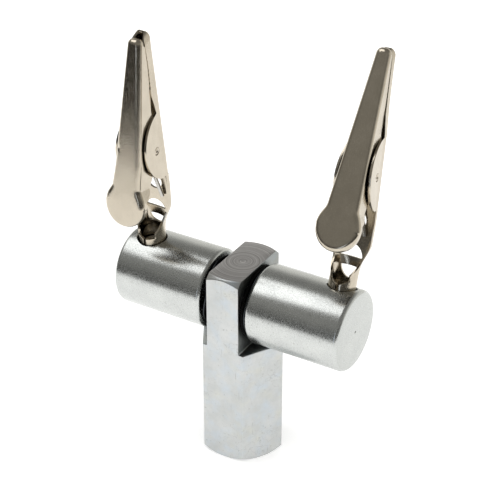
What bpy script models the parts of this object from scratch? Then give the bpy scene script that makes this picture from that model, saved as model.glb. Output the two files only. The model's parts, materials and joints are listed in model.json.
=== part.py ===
"""Electrode holder: a hexagonal post whose milled tongue carries two barrels on one axle.

Each barrel swivels about the axle and holds a spring clip in a radial hole. The clip turns
about its own tail, and its lever opens the jaws against a torsion spring. The origin is the
centre of the post's foot, +Z is up, and the axle lies along X.
"""

import math

import bmesh
import bpy
from mathutils import Vector

MM = 0.001

# Post: hexagon bar with its upper end milled to a flat tongue
HEX_FLATS = 16.0 * MM
POST_HEIGHT = 42.9 * MM
AXIS_HEIGHT = 34.85 * MM
TONGUE_THICKNESS = 7.2 * MM
RECESS_DEPTH = 16.45 * MM
END_CHAMFER_TOP = 7.65 * MM
END_CHAMFER_FOOT = 8.0 * MM
CHAMFER_SLOPE = math.radians(45.0)

# Axle, washers and barrels, measured outwards from the middle of the post
AXLE_RADIUS = 4.0 * MM
AXLE_END = 15.0 * MM
AXLE_CHAMFER = 0.5 * MM
GROOVE_CENTRE = 9.7 * MM
GROOVE_HALF = 1.5 * MM
GROOVE_RADIUS = 3.0 * MM
PRESS_GAP = 0.05 * MM
RUNNING_GAP = 0.1 * MM
FLAT_WASHER = (3.7 * MM, 4.15 * MM)
WASHER_RADIUS = 7.4 * MM
WAVE_RING = (4.3 * MM, 7.2 * MM)
WAVE_SHEET = 0.25 * MM
WAVES = 3
BARREL_RADIUS = 8.2 * MM
BARREL_INNER = {"left": 5.4 * MM, "right": 4.85 * MM}
BARREL_OUTER = {"left": 25.45 * MM, "right": 25.05 * MM}
BARREL_CHAMFER = 0.5 * MM
BORE_END = 15.6 * MM
NIB_RADIUS = 0.35 * MM
NIB_HEIGHT = 0.12 * MM
BARREL_SWIVEL = {"left": math.radians(6.7), "right": math.radians(-17.5)}

# Grub screw under each barrel, its point in the groove of the axle
GRUB_RADIUS = 1.5 * MM
GRUB_TIP = 3.3 * MM
GRUB_TIP_RADIUS = 1.0 * MM
GRUB_SHOULDER = 4.6 * MM
GRUB_HEAD = 7.4 * MM
GRUB_SOCKET_FLATS = 1.5 * MM
GRUB_SOCKET_DEPTH = 1.4 * MM

# Radial hole for the clip, with the spigot that its tail slides over
HOLE_CENTRE = 20.7 * MM
HOLE_RADIUS = 3.05 * MM
HOLE_FLOOR = 1.6 * MM
COUNTERSINK_RADIUS = 3.35 * MM
SPIGOT_RADIUS = 1.95 * MM
SPIGOT_FOOT = -4.0 * MM
SPIGOT_TOP = 7.2 * MM
SPIGOT_CHAMFER = 0.4 * MM

# Clip, in its own frame: Z along the tail from the barrel's axis, -Y towards the lever
SHEET = 0.45 * MM
CLIP_TURN = {"left": math.radians(-1.5), "right": math.radians(1.3)}
CLIP_LEAN = {"left": math.radians(1.0), "right": math.radians(-0.4)}
CLIP_LIFT = {"left": 0.0, "right": 0.5 * MM}

# Rolled tail and open neck
TAIL_FOOT = 2.2 * MM
TAIL_RADIUS = 2.75 * MM
TAIL_CLOSED = 8.8 * MM
TAIL_WRAP = math.radians(174.0)
NECK_TOP = 16.2 * MM
NECK_FOOT = 9.4 * MM
NECK_WALL = [(22.4 * MM, -1.5 * MM), (17.0 * MM, -1.5 * MM), (14.5 * MM, -1.0 * MM),
             (12.5 * MM, 0.0), (11.4 * MM, 1.0 * MM), (10.4 * MM, 1.9 * MM)]
OPENING_CENTRE = {"left": 13.2 * MM, "right": 12.2 * MM}
OPENING_REACH = {"left": 2.8 * MM, "right": 3.4 * MM}
UPPER_OPENING_HALF = 2.4 * MM
LOWER_OPENING_HALF = 1.8 * MM
BRIDGE_TOP = {"left": 14.2 * MM, "right": 13.1 * MM}
BRIDGE_FOOT = {"left": 12.4 * MM, "right": 11.3 * MM}
SPRING_HOLE = 20.3 * MM
SPRING_HOLE_RADIUS = 1.7 * MM
DRILL_Y = 2.4 * MM
DRILL_DEPTH = 4.0 * MM

# Jaws: heights are paired with how far in front of the tail's axis a wall ends
JAW_TIP = 54.0 * MM
NOSE_FOOT = 52.4 * MM
NOSE_PINCH = 0.6 * MM
NOSE_CURL = 1.2 * MM
NOSE_DROOP = 0.4
JAW_BACK = 2.65 * MM
JAW_BACK_SLOPE = 0.02
JAW_CORNER = 0.7 * MM
CORNER_SHARE = 0.45
JAW_WALL = [(54.0 * MM, -1.45 * MM), (47.0 * MM, -1.45 * MM), (43.4 * MM, -1.25 * MM),
            (41.4 * MM, -1.05 * MM), (38.4 * MM, -1.4 * MM), (37.2 * MM, -1.5 * MM),
            (36.8 * MM, -0.6 * MM)]
JAW_HALF_AT_TIP = 1.43 * MM
JAW_HALF_TAPER = 0.062
JAW_HALF_MOST = 3.75 * MM
EAR_CENTRE = (3.2 * MM, 30.0 * MM)
EAR_RADIUS = 7.34 * MM
EAR_TOP = 36.8 * MM
EAR_FOOT = 23.1 * MM
EAR_STEP = 8.0 * MM
EAR_STANDOFF = 0.25 * MM
EAR_FLARE = 0.1
EAR_FLARE_FROM = 1.2 * MM
PIVOT_Y = -0.3 * MM
PIVOT_Z = 29.8 * MM
PIVOT_RADIUS = 0.8 * MM

# Upper jaw: a flat plate that ends in the round thumb pad
LEVER_SLOPE = 0.239
LEVER_ANGLE = math.atan(LEVER_SLOPE)
LEVER_FRONT_AT_TIP = -0.05 * MM
LEVER_TIP_ROUND = 0.9 * MM
LEVER_DRAFT = 0.07
LEVER_WALL = [(53.3 * MM, -1.3 * MM), (47.0 * MM, -1.3 * MM), (43.4 * MM, -1.1 * MM),
              (41.2 * MM, -0.85 * MM), (37.4 * MM, -0.35 * MM), (36.7 * MM, -0.4 * MM),
              (35.5 * MM, -1.3 * MM), (28.2 * MM, -1.4 * MM), (26.2 * MM, 0.0),
              (24.8 * MM, 1.9 * MM), (23.7 * MM, 2.6 * MM), (21.9 * MM, 4.0 * MM),
              (21.3 * MM, 6.0 * MM)]
PAD_RADIUS = 4.5 * MM
PAD_HEIGHT = 20.4 * MM
PAD_RIM = 1.8 * MM
PAD_BLEND = 8.0

# Torsion spring on the clip's pin
WIRE_RADIUS = 0.4 * MM
COIL_RADIUS = 1.4 * MM
COIL_PITCH = 0.86 * MM
COIL_TURNS = 3
COIL_POINTS = 14
JAW_LEG_FOOT = 17.7 * MM
JAW_LEG_SIDE = 2.1 * MM
PAD_LEG_ALONG = 1.5 * MM

# Sections along the jaw, points round each of them, and steps round small bends
NOSE_SECTIONS = 4
TAPER_SECTIONS = 2
EAR_SECTIONS = 12
WAIST_SECTIONS = 2
NECK_SECTIONS = 11
FLOOR_STEPS = 2
BEND_STEPS = 3
WALL_STEPS = 3
TIP_STEPS = 4
PAD_STEPS = 8

SIDES = (("left", -1), ("right", 1))
ROUND_STEPS = 48
SMALL_STEPS = 24
SMOOTH_ANGLE = math.radians(30.0)
ZINC = ((0.62, 0.63, 0.64), 0.35, 1.0)
NICKEL = ((0.70, 0.67, 0.60), 0.22, 1.0)
SPRING_STEEL = ((0.55, 0.53, 0.50), 0.3, 1.0)
DARK_STEEL = ((0.12, 0.12, 0.13), 0.45, 1.0)
FIBRE = ((0.03, 0.03, 0.03), 0.8, 0.0)


# Scene helpers

def clear_scene():
    for item in list(bpy.data.objects):
        bpy.data.objects.remove(item, do_unlink=True)


def new_collection(name):
    group = bpy.data.collections.new(name)
    bpy.context.scene.collection.children.link(group)
    return group


clear_scene()
PARTS = new_collection("electrode_holder")
CUTTERS = new_collection("cutters")
CUTTERS.hide_render = True


def material(name, look):
    colour, roughness, metallic = look
    made = bpy.data.materials.new(name)
    made.use_nodes = True
    shader = made.node_tree.nodes["Principled BSDF"]
    shader.inputs["Base Color"].default_value = (*colour, 1.0)
    shader.inputs["Roughness"].default_value = roughness
    shader.inputs["Metallic"].default_value = metallic
    return made


def place(item, parent=None, location=(0, 0, 0), rotation=(0, 0, 0)):
    item.parent = parent
    item.location = location
    item.rotation_euler = rotation
    return item


def add_part(name, mesh, look):
    mesh.materials.append(material(name, look))
    item = bpy.data.objects.new(name, mesh)
    PARTS.objects.link(item)
    return item


def add_cutter(name, mesh):
    item = bpy.data.objects.new(name, mesh)
    item.hide_render = True
    item.display_type = "WIRE"
    CUTTERS.objects.link(item)
    return item


def add_pivot(name, parent=None, location=(0, 0, 0), rotation=(0, 0, 0)):
    pivot = bpy.data.objects.new(name, None)
    pivot.rotation_mode = "ZYX"
    pivot.empty_display_size = 0.01
    PARTS.objects.link(pivot)
    return place(pivot, parent, location, rotation)


def mesh_from(name, build):
    """A mesh made by a function that fills a bmesh."""
    made = bmesh.new()
    build(made)
    mesh = bpy.data.meshes.new(name)
    made.to_mesh(mesh)
    made.free()
    return mesh


def boolean(item, cutter, operation="DIFFERENCE"):
    step = item.modifiers.new(cutter.name, "BOOLEAN")
    step.operation = operation
    step.object = cutter
    step.solver = "EXACT"


def apply_modifiers(item):
    """Turns the evaluated shape into the object's own mesh, and shades it smooth."""
    bpy.context.view_layer.update()
    graph = bpy.context.evaluated_depsgraph_get()
    mesh = bpy.data.meshes.new_from_object(item.evaluated_get(graph))
    item.modifiers.clear()
    item.data = mesh
    mesh.shade_smooth()
    mesh.set_sharp_from_angle(angle=SMOOTH_ANGLE)


# Shape helpers

def turned_mesh(name, profile):
    """A profile of (radius, height) points, run down its outer side, for a Screw modifier."""
    def build(made):
        ring = profile[0] == profile[-1]
        outline = profile[:-1] if ring else profile
        corners = [made.verts.new((radius, 0.0, height)) for radius, height in outline]
        following = corners[1:] + corners[:1] if ring else corners[1:]
        for start, end in zip(corners, following):
            made.edges.new((start, end))
    return mesh_from(name, build)


def add_screw(item, steps=ROUND_STEPS):
    turn = item.modifiers.new("turn", "SCREW")
    turn.steps = steps
    turn.render_steps = steps
    turn.use_merge_vertices = True
    turn.merge_threshold = 0.00001


def turned_part(name, profile, look, steps=ROUND_STEPS):
    item = add_part(name, turned_mesh(name, profile), look)
    add_screw(item, steps)
    return item


def turned_cutter(name, profile, steps=ROUND_STEPS):
    item = add_cutter(name, turned_mesh(name, profile))
    add_screw(item, steps)
    return item


def prism_mesh(name, radius, depth, sides):
    def build(made):
        bmesh.ops.create_cone(made, cap_ends=True, segments=sides,
                              radius1=radius, radius2=radius, depth=depth)
    return mesh_from(name, build)


def box_mesh(name, size):
    def build(made):
        bmesh.ops.create_cube(made, size=1.0)
        bmesh.ops.scale(made, vec=size, verts=made.verts)
    return mesh_from(name, build)


def cross_drill(name, radius, length, parent, location, steps=SMALL_STEPS):
    """A round cutter lying along X."""
    drill = add_cutter(name, prism_mesh(name, radius, length, steps))
    return place(drill, parent, location, (0, math.pi / 2, 0))


def add_sheet(item, thickness, offset):
    shell = item.modifiers.new("sheet", "SOLIDIFY")
    shell.thickness = thickness
    shell.offset = offset
    shell.use_even_offset = True


def between(height, stations):
    """A value read between the (height, value) stations on either side."""
    for (high, upper), (low, lower) in zip(stations, stations[1:]):
        if height >= low:
            share = min((height - low) / (high - low), 1.0)
            return lower + (upper - lower) * share
    return stations[-1][1]


def ramp(value, start, end):
    """0 before start and 1 after end, with a smooth step between."""
    share = min(max((value - start) / (end - start), 0.0), 1.0)
    return share * share * (3.0 - 2.0 * share)


def spread(start, end, count):
    """Evenly spaced values from start towards end, without the end itself."""
    return [start + (end - start) * step / count for step in range(count)]


# Post

def add_post():
    """A hexagon bar, rounded off at both ends and milled down to the tongue on both sides."""
    corner = HEX_FLATS / math.sqrt(3.0)
    post = add_part("post", prism_mesh("post", corner, POST_HEIGHT, 6), ZINC)
    place(post, location=(0, 0, POST_HEIGHT / 2), rotation=(0, 0, math.pi / 6))
    wide = HEX_FLATS
    rise = math.tan(CHAMFER_SLOPE)
    envelope = turned_cutter("post_envelope", [
        (0, POST_HEIGHT),
        (END_CHAMFER_TOP, POST_HEIGHT),
        (wide, POST_HEIGHT - (wide - END_CHAMFER_TOP) * rise),
        (wide, (wide - END_CHAMFER_FOOT) * rise),
        (END_CHAMFER_FOOT, 0),
        (0, 0)])
    boolean(post, envelope, "INTERSECT")
    for hand, sign in SIDES:
        mill = add_cutter(f"{hand}_recess", box_mesh(f"{hand}_recess", (wide, 2 * wide, 2 * wide)))
        across = sign * (TONGUE_THICKNESS + wide) / 2
        place(mill, location=(across, 0, POST_HEIGHT - RECESS_DEPTH + wide))
        boolean(post, mill)
    boolean(post, cross_drill("tongue_bore", AXLE_RADIUS + PRESS_GAP, 2 * wide, None,
                              (0, 0, AXIS_HEIGHT), ROUND_STEPS))
    apply_modifiers(post)


# Axle and washers

def add_axle():
    """A turned pin with a groove near each end for the grub screws."""
    half = [(0, AXLE_END), (AXLE_RADIUS - AXLE_CHAMFER, AXLE_END),
            (AXLE_RADIUS, AXLE_END - AXLE_CHAMFER),
            (AXLE_RADIUS, GROOVE_CENTRE + GROOVE_HALF),
            (GROOVE_RADIUS, GROOVE_CENTRE + GROOVE_HALF),
            (GROOVE_RADIUS, GROOVE_CENTRE - GROOVE_HALF),
            (AXLE_RADIUS, GROOVE_CENTRE - GROOVE_HALF)]
    profile = half + [(radius, -height) for radius, height in reversed(half)]
    axle = turned_part("axle", profile, ZINC)
    place(axle, location=(0, 0, AXIS_HEIGHT), rotation=(0, math.pi / 2, 0))
    apply_modifiers(axle)


def add_flat_washer(hand, pivot, spin):
    near, far = FLAT_WASHER
    inner = AXLE_RADIUS + RUNNING_GAP
    washer = turned_part(f"{hand}_friction_washer", [
        (inner, far), (WASHER_RADIUS, far), (WASHER_RADIUS, near), (inner, near), (inner, far)],
        FIBRE)
    place(washer, pivot, rotation=(0, spin, 0))
    apply_modifiers(washer)


def add_wave_washer(hand, pivot, spin):
    """A thin ring, bent into waves, that keeps the barrel stiff to turn."""
    near, far = FLAT_WASHER[1] + RUNNING_GAP, BARREL_INNER[hand] - RUNNING_GAP
    middle = (near + far) / 2
    height = (far - near - WAVE_SHEET) / 2

    def build(made):
        rings = []
        for radius in WAVE_RING:
            ring = bmesh.ops.create_circle(made, segments=ROUND_STEPS, radius=radius)["verts"]
            for corner in ring:
                angle = math.atan2(corner.co.y, corner.co.x)
                corner.co.z = middle + height * math.cos(WAVES * angle)
            rings.append(ring)
        bmesh.ops.bridge_loops(made, edges=made.edges)

    washer = add_part(f"{hand}_wave_washer", mesh_from(f"{hand}_wave_washer", build), SPRING_STEEL)
    add_sheet(washer, WAVE_SHEET, 0.0)
    place(washer, pivot, rotation=(0, spin, 0))
    apply_modifiers(washer)


# Barrels

def add_barrel(hand, pivot, sign, spin):
    """A turned barrel with a blind bore for the axle, a clip hole and a grub screw hole."""
    rim = BARREL_RADIUS - BARREL_CHAMFER
    inner, outer = BARREL_INNER[hand], BARREL_OUTER[hand]
    bore = AXLE_RADIUS + RUNNING_GAP
    barrel = turned_part(f"{hand}_barrel", [
        (0, outer + NIB_HEIGHT),
        (NIB_RADIUS, outer),
        (rim, outer),
        (BARREL_RADIUS, outer - BARREL_CHAMFER),
        (BARREL_RADIUS, inner + BARREL_CHAMFER),
        (rim, inner),
        (bore, inner),
        (bore, BORE_END),
        (0, BORE_END)], ZINC)
    place(barrel, pivot, rotation=(0, spin, 0))
    above = 2 * BARREL_RADIUS
    mouth = COUNTERSINK_RADIUS + above - BARREL_RADIUS
    drop = BARREL_RADIUS - (COUNTERSINK_RADIUS - HOLE_RADIUS)
    spigot_bore = SPIGOT_RADIUS + PRESS_GAP
    drill = turned_cutter(f"{hand}_clip_drill", [
        (0, above), (mouth, above), (HOLE_RADIUS, drop), (HOLE_RADIUS, HOLE_FLOOR),
        (spigot_bore, HOLE_FLOOR), (spigot_bore, SPIGOT_FOOT - PRESS_GAP),
        (0, SPIGOT_FOOT - PRESS_GAP)])
    place(drill, pivot, (sign * HOLE_CENTRE, 0, 0))
    tap = add_cutter(f"{hand}_grub_drill", prism_mesh(
        f"{hand}_grub_drill", GRUB_RADIUS + PRESS_GAP, above, SMALL_STEPS))
    place(tap, pivot, (sign * GROOVE_CENTRE, 0, -above / 2 - GROOVE_RADIUS))
    for cutter in (drill, tap):
        boolean(barrel, cutter)
    apply_modifiers(barrel)


def add_grub_screw(hand, pivot, sign):
    """A socket grub screw whose turned-down point runs in the groove of the axle."""
    screw = turned_part(f"{hand}_grub_screw", [
        (0, -GRUB_TIP), (GRUB_TIP_RADIUS, -GRUB_TIP), (GRUB_TIP_RADIUS, -GRUB_SHOULDER),
        (GRUB_RADIUS, -GRUB_SHOULDER), (GRUB_RADIUS, -GRUB_HEAD), (0, -GRUB_HEAD)],
        DARK_STEEL, SMALL_STEPS)
    place(screw, pivot, (sign * GROOVE_CENTRE, 0, 0))
    socket = add_cutter(f"{hand}_grub_socket", prism_mesh(
        f"{hand}_grub_socket", GRUB_SOCKET_FLATS / math.sqrt(3.0), 2 * GRUB_SOCKET_DEPTH, 6))
    place(socket, pivot, (sign * GROOVE_CENTRE, 0, -GRUB_HEAD))
    boolean(screw, socket)
    apply_modifiers(screw)


def add_spigot(hand, pivot, sign):
    """A pin standing in the clip's hole, which the rolled tail slides over."""
    spigot = turned_part(f"{hand}_clip_spigot", [
        (0, SPIGOT_TOP), (SPIGOT_RADIUS - SPIGOT_CHAMFER, SPIGOT_TOP),
        (SPIGOT_RADIUS, SPIGOT_TOP - SPIGOT_CHAMFER), (SPIGOT_RADIUS, SPIGOT_FOOT),
        (0, SPIGOT_FOOT)], ZINC, 2 * SMALL_STEPS)
    place(spigot, pivot, (sign * HOLE_CENTRE, 0, 0))
    apply_modifiers(spigot)


# Clip: lower jaw

def lever_half(height):
    """Half of the lever's width, which both jaws share where they meet."""
    return JAW_HALF_AT_TIP + JAW_HALF_TAPER * (JAW_TIP - height)


def jaw_half(height):
    """Half of the lower jaw's width: its ears stand outside the lever's walls."""
    nose = NOSE_PINCH * ramp(height, NOSE_FOOT, JAW_TIP)
    ears = EAR_STANDOFF * ramp(height, EAR_TOP + EAR_STEP, EAR_TOP)
    half = min(lever_half(height) - nose + ears, JAW_HALF_MOST)
    return half + (TAIL_RADIUS - half) * ramp(height, NECK_TOP, NECK_FOOT)


def jaw_back(height):
    """How far the back of the lower jaw lies behind the tail's axis."""
    straight = JAW_BACK + JAW_BACK_SLOPE * (height - NECK_TOP)
    nose = NOSE_CURL * ramp(height, NOSE_FOOT, JAW_TIP)
    return straight - nose + (TAIL_RADIUS - straight) * ramp(height, NECK_TOP, NECK_FOOT)


def jaw_edge(height):
    """Where the side walls end in front of the tail's axis; negative is behind it."""
    if EAR_FOOT < height <= EAR_TOP:
        behind, centre = EAR_CENTRE
        return math.sqrt(EAR_RADIUS ** 2 - (height - centre) ** 2) - behind
    return between(height, JAW_WALL if height > EAR_TOP else NECK_WALL)


def jaw_section(height):
    """Points round the channel at one height, from one free edge over the back to the other."""
    half, back, edge = jaw_half(height), jaw_back(height), jaw_edge(height)
    corner = min(JAW_CORNER, CORNER_SHARE * half, CORNER_SHARE * (edge + back))
    floor, bend, wall = half - corner, corner * math.pi / 2, edge + back - corner
    length = floor + bend + wall
    roundness = ramp(height, NECK_TOP, NECK_FOOT)
    reach = math.acos(max(-1.0, min(1.0, -edge / TAIL_RADIUS)))
    wrap = reach + (TAIL_WRAP - reach) * ramp(height, NECK_FOOT, TAIL_CLOSED)
    side = []
    for step in range(FLOOR_STEPS + BEND_STEPS + WALL_STEPS + 1):
        if step <= FLOOR_STEPS:
            run = floor * step / FLOOR_STEPS
            flat = (run, back)
        elif step <= FLOOR_STEPS + BEND_STEPS:
            angle = math.pi / 2 * (step - FLOOR_STEPS) / BEND_STEPS
            run = floor + corner * angle
            flat = (floor + corner * math.sin(angle), back - corner * (1 - math.cos(angle)))
        else:
            down = wall * (step - FLOOR_STEPS - BEND_STEPS) / WALL_STEPS
            run = floor + bend + down
            depth = back - corner - down
            flat = (half + EAR_FLARE * max(EAR_FLARE_FROM - depth, 0.0), depth)
        angle = run / length * wrap
        curl = (TAIL_RADIUS * math.sin(angle), TAIL_RADIUS * math.cos(angle))
        side.append((flat[0] + (curl[0] - flat[0]) * roundness,
                     flat[1] + (curl[1] - flat[1]) * roundness))
    mirrored = [(-across, depth) for across, depth in reversed(side[1:])]
    droop = NOSE_DROOP * ramp(height, NOSE_FOOT, JAW_TIP)
    return [(across, depth, height - droop * (back - depth)) for across, depth in mirrored + side]


def jaw_heights():
    """Heights of the sections from tip to tail, closer where the outline turns."""
    middle, reach = (EAR_TOP + EAR_FOOT) / 2, (EAR_TOP - EAR_FOOT) / 2
    ears = [middle + reach * math.cos(math.pi * step / EAR_SECTIONS)
            for step in range(EAR_SECTIONS + 1)]
    steps = [height for height, edge in JAW_WALL[1:-1]]
    return (spread(JAW_TIP, NOSE_FOOT, NOSE_SECTIONS)
            + spread(NOSE_FOOT, steps[0], TAPER_SECTIONS) + steps + ears
            + spread(EAR_FOOT - PRESS_GAP, NECK_TOP, WAIST_SECTIONS)
            + spread(NECK_TOP, TAIL_CLOSED, NECK_SECTIONS) + [TAIL_CLOSED, TAIL_FOOT])


def half_oval_cutter(name, hand, half, cut_height, keep_above):
    """One part of the neck's oval opening, on one side of the bridge that crosses it."""
    def build(made):
        bmesh.ops.create_cone(made, cap_ends=True, segments=SMALL_STEPS, radius1=1.0,
                              radius2=1.0, depth=1.0)
        bmesh.ops.scale(made, vec=(half, OPENING_REACH[hand], DRILL_DEPTH), verts=made.verts)
        away = Vector((0, -1, 0) if keep_above else (0, 1, 0))
        cut = bmesh.ops.bisect_plane(made, geom=made.verts[:] + made.edges[:] + made.faces[:],
                                     plane_co=(0, cut_height - OPENING_CENTRE[hand], 0),
                                     plane_no=away, clear_outer=True)
        rim = [item for item in cut["geom_cut"] if isinstance(item, bmesh.types.BMEdge)]
        bmesh.ops.holes_fill(made, edges=rim)
    return add_cutter(name, mesh_from(name, build))


def add_lower_jaw(hand, pivot):
    """A channel lofted from jaw tip to rolled tail, with ears, pivot hole and openings."""
    def build(made):
        rows = [[made.verts.new(point) for point in jaw_section(height)]
                for height in jaw_heights()]
        for upper, lower in zip(rows, rows[1:]):
            for spot in range(len(upper) - 1):
                made.faces.new((upper[spot], upper[spot + 1], lower[spot + 1], lower[spot]))

    name = f"{hand}_lower_jaw"
    jaw = place(add_part(name, mesh_from(name, build), NICKEL), pivot)
    add_sheet(jaw, SHEET, -1.0)
    boolean(jaw, cross_drill(f"{hand}_ear_drill", PIVOT_RADIUS + PRESS_GAP, EAR_RADIUS * 2, pivot,
                             (0, PIVOT_Y, PIVOT_Z)))
    spring_hole = f"{hand}_spring_hole"
    round_cutter = add_cutter(spring_hole, prism_mesh(
        spring_hole, SPRING_HOLE_RADIUS, DRILL_DEPTH, SMALL_STEPS))
    upper = half_oval_cutter(f"{hand}_upper_opening", hand, UPPER_OPENING_HALF,
                             BRIDGE_TOP[hand], True)
    lower = half_oval_cutter(f"{hand}_lower_opening", hand, LOWER_OPENING_HALF,
                             BRIDGE_FOOT[hand], False)
    for cutter, height in ((round_cutter, SPRING_HOLE), (upper, OPENING_CENTRE[hand]),
                           (lower, OPENING_CENTRE[hand])):
        place(cutter, pivot, (0, DRILL_Y, height), (math.pi / 2, 0, 0))
        boolean(jaw, cutter)
    apply_modifiers(jaw)


# Clip: upper jaw, with its thumb lever

def lever_point(along, depth):
    """(Y, Z) of a point on the lever, along its plate from the pad's centre and behind it."""
    front = LEVER_FRONT_AT_TIP + LEVER_SLOPE * (JAW_TIP - PAD_HEIGHT)
    outward = front - along * math.sin(LEVER_ANGLE) - depth * math.cos(LEVER_ANGLE)
    height = PAD_HEIGHT + along * math.cos(LEVER_ANGLE) - depth * math.sin(LEVER_ANGLE)
    return -outward, height


def lever_coordinates(height, outward):
    """The inverse: how far along the plate, and how far behind it, a point lies."""
    front = LEVER_FRONT_AT_TIP + LEVER_SLOPE * (JAW_TIP - PAD_HEIGHT)
    rise, drop = height - PAD_HEIGHT, outward - front
    along = rise * math.cos(LEVER_ANGLE) - drop * math.sin(LEVER_ANGLE)
    depth = -rise * math.sin(LEVER_ANGLE) - drop * math.cos(LEVER_ANGLE)
    return along, depth


def plate_half(along):
    """Half width of the lever's plate: a tapering strip that swells into the round pad."""
    strip = lever_half(PAD_HEIGHT + along * math.cos(LEVER_ANGLE))
    if along >= PAD_RADIUS:
        return strip
    pad = math.sqrt(PAD_RADIUS ** 2 - along ** 2)
    return (strip ** PAD_BLEND + pad ** PAD_BLEND) ** (1.0 / PAD_BLEND)


def lever_outline():
    """(along, across, depth) down one side of the plate, from the tip to the pad's end."""
    walls = [lever_coordinates(*point) for point in LEVER_WALL]
    tip, tip_depth = walls[0]
    straight = tip - LEVER_TIP_ROUND
    half = plate_half(straight)
    points = [(tip, 0.0, tip_depth)]
    for step in range(TIP_STEPS):
        angle = math.pi / 2 * step / TIP_STEPS
        points.append((straight + LEVER_TIP_ROUND * math.cos(angle),
                       half - LEVER_TIP_ROUND * (1.0 - math.sin(angle)), tip_depth))
    alongs = [along for along, depth in walls[1:]] + spread(PAD_RADIUS, 0.0, PAD_STEPS)
    for along in sorted(alongs, reverse=True):
        points.append((along, plate_half(along), between(along, walls)))
    for step in range(PAD_STEPS + 1):
        angle = math.pi / 2 * step / PAD_STEPS
        points.append((-PAD_RADIUS * math.sin(angle), PAD_RADIUS * math.cos(angle), PAD_RIM))
    return points


def drawn_in(across, depth):
    """How far out a side wall is at this depth, given its draft."""
    return math.copysign(max(abs(across) - LEVER_DRAFT * depth, 0.0), across)


def add_upper_jaw(hand, pivot):
    """A pressed tray: the plate's outline is filled, and its rim is drawn back as the walls."""
    def build(made):
        side = lever_outline()
        mirrored = [(along, -across, depth) for along, across, depth in reversed(side[1:-1])]
        ring = side + mirrored
        front = [made.verts.new((across, *lever_point(along, 0.0))) for along, across, _ in ring]
        back = [made.verts.new((drawn_in(across, depth), *lever_point(along, depth)))
                for along, across, depth in ring]
        made.faces.new(reversed(front))
        for spot, corner in enumerate(front):
            after = (spot + 1) % len(front)
            made.faces.new((corner, front[after], back[after], back[spot]))
        bmesh.ops.translate(made, vec=(0, -PIVOT_Y, -PIVOT_Z), verts=made.verts)

    name = f"{hand}_upper_jaw"
    lever = place(add_part(name, mesh_from(name, build), NICKEL), pivot)
    add_sheet(lever, SHEET, -1.0)
    boolean(lever, cross_drill(f"{hand}_lever_drill", PIVOT_RADIUS + RUNNING_GAP,
                               EAR_RADIUS * 2, pivot, (0, 0, 0)))
    apply_modifiers(lever)


# Clip: pin and spring

def add_pivot_pin(hand, pivot):
    """The pin through both jaws, cut flush with the ears."""
    length = 2 * (jaw_half(PIVOT_Z) - PRESS_GAP)
    name = f"{hand}_jaw_pin"
    pin = add_part(name, prism_mesh(name, PIVOT_RADIUS, length, SMALL_STEPS), NICKEL)
    place(pin, pivot, (0, PIVOT_Y, PIVOT_Z), (0, math.pi / 2, 0))
    apply_modifiers(pin)


def spring_path():
    """A leg down the lower jaw's back, a coil round the pin, and a leg under the pad."""
    pad_y, pad_z = lever_point(PAD_LEG_ALONG, SHEET + WIRE_RADIUS + RUNNING_GAP)
    away, drop = pad_y - PIVOT_Y, pad_z - PIVOT_Z
    last = math.atan2(drop, away) % (2 * math.pi)
    last -= math.acos(COIL_RADIUS / math.hypot(away, drop))
    sweep = COIL_TURNS * 2 * math.pi + last
    count = round(sweep / (2 * math.pi) * COIL_POINTS)
    width = COIL_PITCH * sweep / (2 * math.pi)
    coil = []
    for step in range(count + 1):
        angle = sweep * step / count
        coil.append((width * (step / count - 0.5),
                     PIVOT_Y + COIL_RADIUS * math.cos(angle),
                     PIVOT_Z + COIL_RADIUS * math.sin(angle)))
    back = jaw_back(JAW_LEG_FOOT) - SHEET - WIRE_RADIUS - RUNNING_GAP
    return [(JAW_LEG_SIDE, back, JAW_LEG_FOOT)] + coil + [(width / 2, pad_y, pad_z)]


def add_spring(hand, pivot):
    """A torsion spring of round wire, made from a curve and then turned into a mesh."""
    wire = bpy.data.curves.new("wire", "CURVE")
    wire.dimensions = "3D"
    wire.bevel_depth = WIRE_RADIUS
    wire.bevel_resolution = 2
    wire.use_fill_caps = True
    path = spring_path()
    line = wire.splines.new("POLY")
    line.points.add(len(path) - 1)
    for point, place_on_path in zip(line.points, path):
        point.co = (*place_on_path, 1.0)
    guide = bpy.data.objects.new("spring_guide", wire)
    CUTTERS.objects.link(guide)
    bpy.context.view_layer.update()
    graph = bpy.context.evaluated_depsgraph_get()
    mesh = bpy.data.meshes.new_from_object(guide.evaluated_get(graph))
    bpy.data.objects.remove(guide, do_unlink=True)
    made = bmesh.new()
    made.from_mesh(mesh)
    bmesh.ops.remove_doubles(made, verts=made.verts, dist=0.00001)
    made.to_mesh(mesh)
    made.free()
    mesh.shade_smooth()
    mesh.set_sharp_from_angle(angle=SMOOTH_ANGLE)
    place(add_part(f"{hand}_jaw_spring", mesh, SPRING_STEEL), pivot)


# Assembly

def build_side(hand, sign):
    """Everything on one side of the post, hung on its own chain of pivots."""
    spin = sign * math.pi / 2
    line = add_pivot(f"{hand}_axle_line", location=(0, 0, AXIS_HEIGHT))
    barrel = add_pivot(f"{hand}_barrel_pivot", line, rotation=(BARREL_SWIVEL[hand], 0, 0))
    clip = add_pivot(f"{hand}_clip_pivot", barrel, (sign * HOLE_CENTRE, 0, CLIP_LIFT[hand]),
                     (0, CLIP_LEAN[hand], CLIP_TURN[hand]))
    lever = add_pivot(f"{hand}_lever_pivot", clip, (0, PIVOT_Y, PIVOT_Z))
    add_flat_washer(hand, line, spin)
    add_wave_washer(hand, barrel, spin)
    add_barrel(hand, barrel, sign, spin)
    add_grub_screw(hand, barrel, sign)
    add_spigot(hand, barrel, sign)
    add_lower_jaw(hand, clip)
    add_pivot_pin(hand, clip)
    add_spring(hand, clip)
    add_upper_jaw(hand, lever)


add_post()
add_axle()
for side_name, side_sign in SIDES:
    build_side(side_name, side_sign)
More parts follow.
